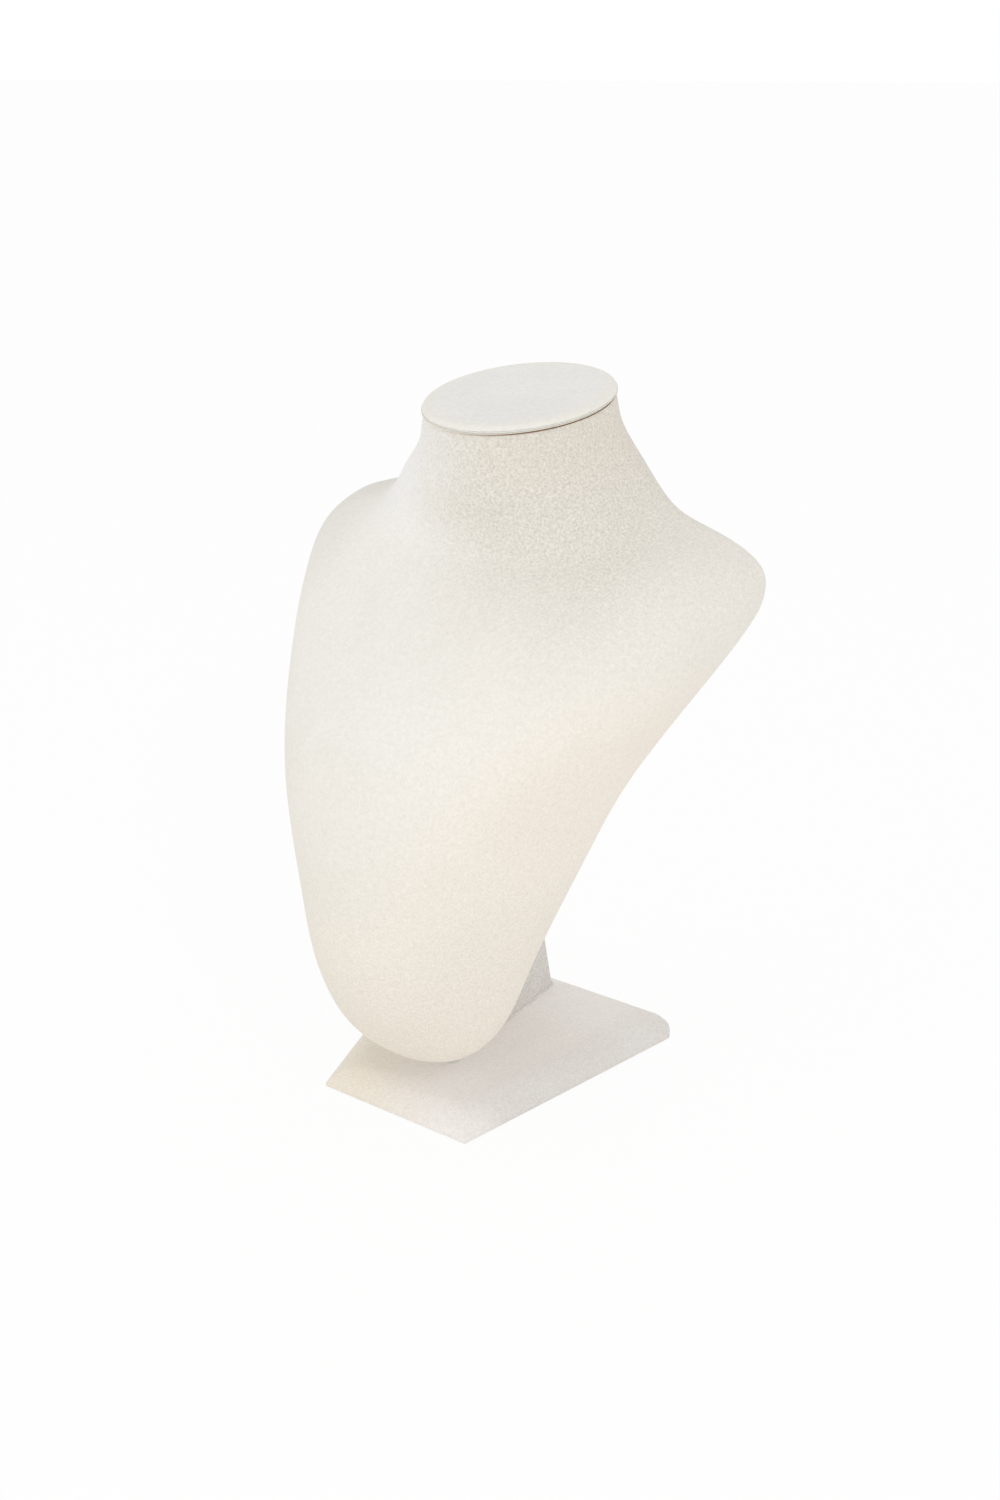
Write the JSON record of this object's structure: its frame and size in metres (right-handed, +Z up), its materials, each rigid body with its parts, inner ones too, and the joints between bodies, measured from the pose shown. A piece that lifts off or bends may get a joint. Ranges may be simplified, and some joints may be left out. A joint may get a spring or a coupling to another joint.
{
  "type": "necklace stand",
  "caption": "Suede-covered necklace bust with an oval neck cap, leaning forward over a trapezoid base on a fin-shaped post.",
  "frame": {"origin": "middle of the underside of the base, half way between its front and rear edges", "axes": "+Z up, +Y to the back of the stand, +X to the right seen from the front"},
  "size_m": [0.2152, 0.1728, 0.3081],
  "materials": {
    "shell": "plain moulded",
    "suede": "fine suede",
    "board": "raw fibreboard",
    "card": "grey card",
    "felt": "thin felt",
    "screw_steel": "zinc plated"
  },
  "bodies": {
    "root": {"bust_shell": "shell", "bust_cover": "suede", "back_panel": "board", "back_card": "card", "back_suede": "suede", "neck_cap": "board", "neck_cap_cover": "suede", "support_post": "board", "post_cover": "suede", "base_board": "board", "base_cover": "suede", "base_lining": "felt", "screws": "screw_steel"}
  },
  "joints": []
}
